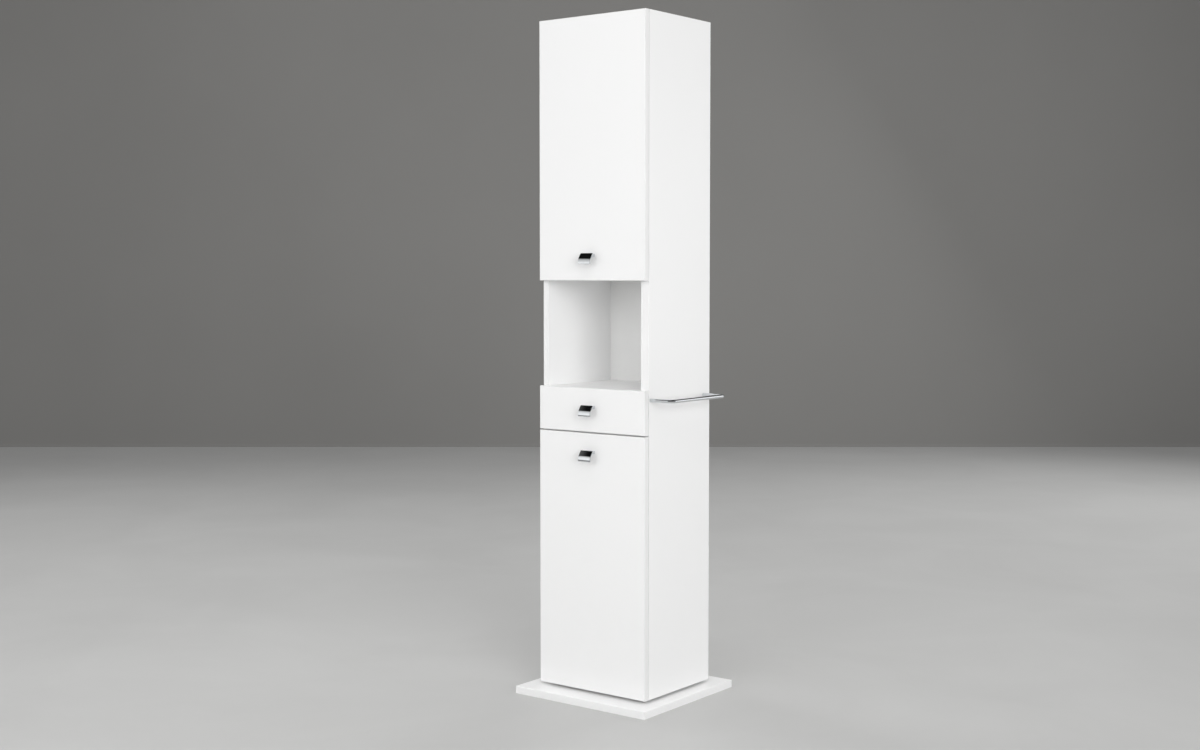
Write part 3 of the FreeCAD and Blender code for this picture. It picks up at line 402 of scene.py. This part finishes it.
def crossHead(spec, sink, length):
    # a turned profile (radius, height along the axis) swept round; the top sinks by a set depth inside a cross of two
    # bars with sloping walls; sink is the depth of a countersunk cone
    curve, around = headCurve, headCurve["around"]
    angle = np.linspace(0, 2 * math.pi, around, endpoint=False)
    if spec["rise"]:
        lean = np.linspace(0, math.pi / 2, curve["shoulderSteps"])[1:]
        share = curve["crownShare"]
        crown = np.linspace(curve["hub"], share, curve["crownSteps"]) * spec["head"]
        radius = np.concatenate([crown, spec["head"] * (share + (1 - share) * np.sin(lean)),
                                 [spec["head"], spec["shank"]]])
        height = np.concatenate([spec["rise"] * (1 - curve["crownFall"] * (crown / crown[-1]) ** 2),
                                 spec["rise"] * (curve["shoulderRise"] * np.sqrt(np.cos(lean)) + curve["rimRise"]),
                                 [0, 0]])
    else:
        crown = np.linspace(curve["hub"], curve["flatShare"], curve["flatSteps"]) * spec["head"]
        radius = np.concatenate([crown, [spec["head"], spec["shank"]]])
        height = np.concatenate([np.zeros(len(crown)), [-curve["flatEaseMm"], -sink]])
    radius = np.concatenate([radius, [spec["shank"] * curve["shankShare"], spec["shank"] * curve["tipShare"],
                                      curve["tipHubMm"]]])
    height = np.concatenate([height, [-length + spec["shank"], -length, -length]])
    x, y = radius[:, None] * np.cos(angle), radius[:, None] * np.sin(angle)
    wall = curve["wallShare"] * spec["half"]
    bars = np.minimum(np.abs(x), np.abs(y))  # distance from the nearer bar's middle line
    inBar = np.clip((spec["half"] + wall - bars) / wall, 0, 1)
    inReach = np.clip((spec["reach"] - np.hypot(x, y)) / (curve["fadeShare"] * spec["reach"]), 0, 1)
    onTop = (np.arange(len(radius)) < len(crown))[:, None]
    z = height[:, None] - spec["deep"] * inBar * inReach * onTop
    return np.stack([x, y, z], -1).reshape(-1, 3), closedQuads(len(radius), around)


axisFrames = {  # rows: two directions across and the direction that the head faces
    "+X": ((0, 1, 0), (0, 0, 1), (1, 0, 0)), "-X": ((0, 0, 1), (0, 1, 0), (-1, 0, 0)),
    "+Y": ((0, 0, 1), (1, 0, 0), (0, 1, 0)), "+Z": ((1, 0, 0), (0, 1, 0), (0, 0, 1)),
    "-Z": ((0, 1, 0), (1, 0, 0), (0, 0, -1)),
}


def setHeads(kind, sink, length, faces, spots):
    # the same head at each spot, each turned a little differently about its own axis
    points, quads = crossHead(headShapes[kind], sink, length)
    shells = []
    for step, spot in enumerate(spots):
        angle = headTurns["first"] + headTurns["each"] * step
        spin = np.array([[math.cos(angle), -math.sin(angle), 0], [math.sin(angle), math.cos(angle), 0], [0, 0, 1]])
        shells.append((points @ spin.T @ np.array(axisFrames[faces], float) + np.array(spot), quads))
    return shells


doorScrews = {"cupAcross": -152.5, "cupLift": 0.8, "cupHalf": 24.0, "cupLength": 12.8, "pullHalf": 8.0,
              "pullLift": 8.45, "pullLength": 25.0}
for prefix in ("upper", "lower"):
    cupDepth, pullLevel = plan["frontBack"] + doorScrews["cupLift"], plan["pullLevels"][prefix] + doorScrews["pullLift"]
    cupSpots = [(doorScrews["cupAcross"], cupDepth, level + side * doorScrews["cupHalf"])
                for level in plan["hingeLevels"][prefix] for side in (-1, 1)]
    pullSpots = [(side * doorScrews["pullHalf"], plan["frontBack"], pullLevel) for side in (-1, 1)]
    addPiece(f"{prefix}CupScrewHeads", setHeads("pan", 0, doorScrews["cupLength"], "+Y", cupSpots), "screw_steel",
             f"{prefix}_door", [f"{prefix}_cup_screws"], headSharp)
    addPiece(f"{prefix}PullScrewHeads", setHeads("pull", 0, doorScrews["pullLength"], "+Y", pullSpots), "screw_steel",
             f"{prefix}_door", [f"{prefix}_pull_screws"], headSharp)
drawerScrews = {"boxFrontBack": -120.75, "pullLength": 37.0, "frontAcross": (-116.3, 107.3),
                "frontLevels": (752.5, 786.5), "frontSink": 1.4, "frontLength": 24.0}
drawerPullSpots = [(side * doorScrews["pullHalf"], drawerScrews["boxFrontBack"],
                    plan["pullLevels"]["drawer"] + doorScrews["pullLift"]) for side in (-1, 1)]
addPiece("drawerPullScrewHeads", setHeads("pull", 0, drawerScrews["pullLength"], "+Y", drawerPullSpots),
         "screw_steel", "drawer", ["drawer_pull_screws"], headSharp)
drawerFrontSpots = [(x, drawerScrews["boxFrontBack"], z) for x in drawerScrews["frontAcross"]
                    for z in drawerScrews["frontLevels"]]
drawerFrontHeads = setHeads("flat", drawerScrews["frontSink"], drawerScrews["frontLength"], "+Y", drawerFrontSpots)
addPiece("drawerFrontScrewHeads", drawerFrontHeads, "screw_steel", "drawer", ["drawer_front_screws"], headSharp)
cabinetScrews = {"plateAcross": -157.0, "plateAlong": -94.25, "plateHalf": 16.0, "plateSink": 2.0,
                 "plateLength": 14.0, "backAcross": (-163.0, 158.5), "backShares": (0.08, 0.36, 0.64, 0.92),
                 "backSink": 3.0, "backLength": 15.0, "railLength": 37.0}
plateSpots = [(cabinetScrews["plateAcross"], cabinetScrews["plateAlong"], level + side * cabinetScrews["plateHalf"])
              for pair in plan["hingeLevels"].values() for level in pair for side in (-1, 1)]
plateHeads = setHeads("flat", cabinetScrews["plateSink"], cabinetScrews["plateLength"], "+X", plateSpots)
addPiece("hingePlateScrewHeads", plateHeads, "screw_steel", "cabinet", ["hinge_plate_screws"], headSharp)
backSpots = [(x, plan["carcassBack"], plan["bodyFloor"] + plan["bodyHeight"] * share)
             for x in cabinetScrews["backAcross"] for share in cabinetScrews["backShares"]]
backHeads = setHeads("flat", cabinetScrews["backSink"], cabinetScrews["backLength"], "+Y", backSpots)
addPiece("backPanelScrewHeads", backHeads, "screw_steel", "cabinet", ["back_panel_screws"], headSharp)
railSpots = [(plan["rightInner"], railShape[end], railShape["level"]) for end in ("near", "far")]
addPiece("towelRailScrewHeads", setHeads("rail", 0, cabinetScrews["railLength"], "-X", railSpots), "screw_steel",
         "cabinet", ["towel_rail_screws"], headSharp)
print("screws: heads with cross recesses")

camPlan = {"across": (-135.0, 126.0), "along": (-91.25, 105.75), "faceUp": (44.0, 1133.0),
           "faceDown": (708.5, 818.0, 1792.0), "height": 12.5, "ease": 0.2}
camShells = []
for faces, levels in (("+Z", camPlan["faceUp"]), ("-Z", camPlan["faceDown"])):
    camSpots = [(x, y, z) for z in levels for x in camPlan["across"] for y in camPlan["along"]]
    camShells += setHeads("cam", camPlan["ease"], camPlan["height"], faces, camSpots)
addPiece("camLockDiscs", camShells, "zinc_cast", "cabinet", ["cam_locks"], headSharp)
print("cam locks: discs with cross recesses")

bumperShape = {"radius": 4.0, "height": 1.5, "inset": 12.5, "edgeDistance": 30.0, "around": 32, "hub": 0.02,
               "domeSteps": 10, "fall": 0.7}


def bumperShells(spec, span):
    # a dome: the height falls off with the fourth power of the radius, over a flat foot
    angle = np.linspace(0, 2 * math.pi, spec["around"], endpoint=False)
    dome = np.linspace(spec["hub"], 1, spec["domeSteps"])
    share = np.concatenate([dome, [1, spec["hub"]]])
    rise = np.concatenate([spec["height"] * (1 - spec["fall"] * dome ** 4), [0, 0]])
    shells = []
    for level in (span[0] + spec["edgeDistance"], span[1] - spec["edgeDistance"]):
        x = plan["rightFace"] - spec["inset"] + spec["radius"] * share[:, None] * np.cos(angle)
        z = level + spec["radius"] * share[:, None] * np.sin(angle)
        y = np.broadcast_to((plan["frontBack"] + rise)[:, None], x.shape)
        shells.append((np.stack([x, y, z], -1).reshape(-1, 3), closedQuads(len(share), spec["around"])))
    return shells


for prefix in ("upper", "lower"):
    addPiece(f"{prefix}BumperDomes", bumperShells(bumperShape, plan["doorSpans"][prefix]), "bumper_rubber",
             f"{prefix}_door", [f"{prefix}_door_bumpers"])
print("bumpers: soft domes")

cameraFit = {"place": (2.568, -3.451, 1.138), "turnDegrees": 37.546, "downDegrees": 2.814, "lens": 47.815,
             "sensor": 36.0, "shiftY": -0.02}
turn, down = math.radians(cameraFit["turnDegrees"]), math.radians(cameraFit["downDegrees"])
sight = Vector((-math.sin(turn) * math.cos(down), math.cos(turn) * math.cos(down), -math.sin(down)))
cameraData = bpy.data.cameras.new("photoCamera")
cameraData.sensor_width, cameraData.lens = cameraFit["sensor"], cameraFit["lens"]
cameraData.shift_y = cameraFit["shiftY"]
camera = bpy.data.objects.new("photoCamera", cameraData)
camera.location = cameraFit["place"]
camera.rotation_euler = sight.to_track_quat("-Z", "Y").to_euler()
scene.collection.objects.link(camera)
scene.camera = camera

# the studio: a pale floor and a grey wall on a square plan that faces the camera
studio = {"hub": 0.001, "half": 6.1, "cove": 0.02, "coveSteps": 7, "wallTop": 7.0, "around": 192, "squareness": 10,
          "floorLight": "#c4c4c3", "floorDark": "#bfbfbe", "wallLight": "#9b9a98", "wallDark": "#8e8d8b",
          "wallTopShade": "#191919", "fadeFrom": 5.4, "fadeTo": 7.0}


def sweptStage(name, profile, material):
    # a profile (distance from the swivel axis, height) carried round a square with soft corners, a superellipse
    angle = np.linspace(0, 2 * math.pi, studio["around"], endpoint=False)
    power = studio["squareness"]
    square = (np.abs(np.cos(angle)) ** power + np.abs(np.sin(angle)) ** power) ** (-1 / power)
    r, z = np.array(profile).T
    points = np.stack(np.broadcast_arrays(r[:, None] * square * np.cos(angle + turn),
                                          r[:, None] * square * np.sin(angle + turn), z[:, None]), -1)
    quads = gridQuads(len(profile), studio["around"])
    mesh = bpy.data.meshes.new(name)
    mesh.from_pydata(points.reshape(-1, 3).tolist(), [], quads.tolist())
    mesh.polygons.foreach_set("use_smooth", np.ones(len(mesh.polygons), bool))
    mesh.materials.append(material)
    stage = bpy.data.objects.new(name, mesh)
    scene.collection.objects.link(stage)
    return stage


# trowelled floor screed, painted pale: faint clouds and a dull shine
floorPaint, tree, shader, place = startMaterial("screedPaintedPale", Roughness=0.6, Specular_IOR_Level=0.2)
mottle = addNode(tree, "ShaderNodeTexNoise", {"Vector": place, "Scale": 1.3, "Detail": 7.0, "Roughness": 0.6,
                                              "Distortion": 0.5})
spread = addNode(tree, "ShaderNodeMapRange", {"Value": mottle.outputs["Fac"], "From Min": 0.35, "From Max": 0.65})
tint = addNode(tree, "ShaderNodeMix", {"Factor": spread.outputs["Result"], mixA: toLinear(studio["floorLight"]),
                                       mixB: toLinear(studio["floorDark"])}, data_type="RGBA")
tree.links.new(tint.outputs[mixOut], shader.inputs["Base Color"])
# matt wall paint: an even grey, with painted shade that darkens it towards the top in place of a dim studio ceiling
wallPaint, tree, shader, place = startMaterial("wallPaintMatt", Roughness=0.8)
mottle = addNode(tree, "ShaderNodeTexNoise", {"Vector": place, "Scale": 0.5, "Detail": 4.0})
tint = addNode(tree, "ShaderNodeMix", {"Factor": mottle.outputs["Fac"], mixA: toLinear(studio["wallLight"]),
                                       mixB: toLinear(studio["wallDark"])}, data_type="RGBA")
height = addNode(tree, "ShaderNodeSeparateXYZ", {"Vector": place})
fade = addNode(tree, "ShaderNodeMapRange", {"Value": height.outputs["Z"], "From Min": studio["fadeFrom"],
                                            "From Max": studio["fadeTo"]}, interpolation_type="SMOOTHSTEP")
dim = addNode(tree, "ShaderNodeMix", {"Factor": fade.outputs["Result"], mixA: tint.outputs[mixOut],
                                      mixB: toLinear(studio["wallTopShade"])}, data_type="RGBA")
tree.links.new(dim.outputs[mixOut], shader.inputs["Base Color"])
half, cove = studio["half"], studio["cove"]
wallProfile = [(half - cove * (1 - math.sin(a)), cove * (1 - math.cos(a)))  # a quarter circle, then straight up
               for a in np.linspace(0, math.pi / 2, studio["coveSteps"])] + [(half, studio["wallTop"])]
sweptStage("studioFloor", [(studio["hub"], 0), (half / 3, 0), (half - cove, 0)], floorPaint)
studioWall = sweptStage("studioWall", wallProfile, wallPaint)
studioWall.visible_diffuse = False  # the sky light passes the wall
studioWall.visible_shadow = False

skyLight = {"strength": 0.29, "colour": "#ffffff", "seen": "#161616"}
world = bpy.data.worlds.new("studioSky")
scene.world = world
world.use_nodes = True
tree = world.node_tree
rays = addNode(tree, "ShaderNodeLightPath")
looked = addNode(tree, "ShaderNodeMath", {0: rays.outputs["Is Camera Ray"], 1: rays.outputs["Is Glossy Ray"]},
                 operation="MAXIMUM")
sky = tree.nodes["Background"]
sky.inputs["Color"].default_value = toLinear(skyLight["colour"])
sky.inputs["Strength"].default_value = skyLight["strength"]
roof = addNode(tree, "ShaderNodeBackground", {"Color": toLinear(skyLight["seen"]), "Strength": 1.0})
blend = addNode(tree, "ShaderNodeMixShader", {0: looked.outputs[0], 1: sky.outputs[0], 2: roof.outputs[0]})
tree.links.new(blend.outputs[0], tree.nodes["World Output"].inputs["Surface"])

softLamps = {  # place in metres, size, watts, seen in gloss, top's share of the foot's brightness, spread in degrees
    "leftFrontBox": ((-1.93, -2.72, 1.93), (2.4, 3.06), 22, True, 0.02, 180),
    "rightKeyBox": ((4.5, -3.0, 1.8), (2.8, 2.4), 33, False, 1.0, 80),
    "highRightBox": ((2.2, -3.0, 4.4), (2.6, 2.6), 43, False, 1.0, 180),
    "frontBox": ((0.2, -4.9, 2.2), (2.4, 2.4), 61, False, 1.0, 180),
    "rightBackCard": ((3.5, 4.5, 1.4), (3.4, 2.6), 32, True, 1.0, 180),
    "topPanel": ((0.0, 0.0, 5.2), (3.0, 3.0), 64, False, 1.0, 180),
    "leftBox": ((-6.8, 0.4, 3.2), (3.2, 3.2), 40, False, 1.0, 90),
    "backBox": ((0.4, 5.3, 3.2), (2.8, 2.8), 80, False, 1.0, 180),
}
lampAim = Vector((0, 0, 0.95))
lampFade = {"from": 0.25, "to": 0.92}  # shares of the cloth's height between which the brightness changes
for name, (spot, size, watts, glossy, topShare, spreadDegrees) in softLamps.items():
    lamp = bpy.data.lights.new(name, "AREA")
    lamp.shape, lamp.size, lamp.size_y, lamp.energy = "RECTANGLE", size[0], size[1], watts
    lamp.spread = math.radians(spreadDegrees)
    lamp.use_nodes = True
    tree = lamp.node_tree
    surface = addNode(tree, "ShaderNodeNewGeometry")
    cloth = addNode(tree, "ShaderNodeSeparateXYZ", {"Vector": surface.outputs["Parametric"]})
    grade = addNode(tree, "ShaderNodeMapRange", {"Value": cloth.outputs["Y"], "From Min": lampFade["from"],
                                                 "From Max": lampFade["to"], "To Min": 1.0, "To Max": topShare})
    tree.links.new(grade.outputs["Result"], tree.nodes["Emission"].inputs["Strength"])
    box = bpy.data.objects.new(name, lamp)
    box.location = spot
    box.rotation_euler = (lampAim - Vector(spot)).to_track_quat("-Z", "Y").to_euler()
    box.visible_camera, box.visible_glossy = False, glossy
    scene.collection.objects.link(box)
print("studio: camera, floor, wall and lamps")
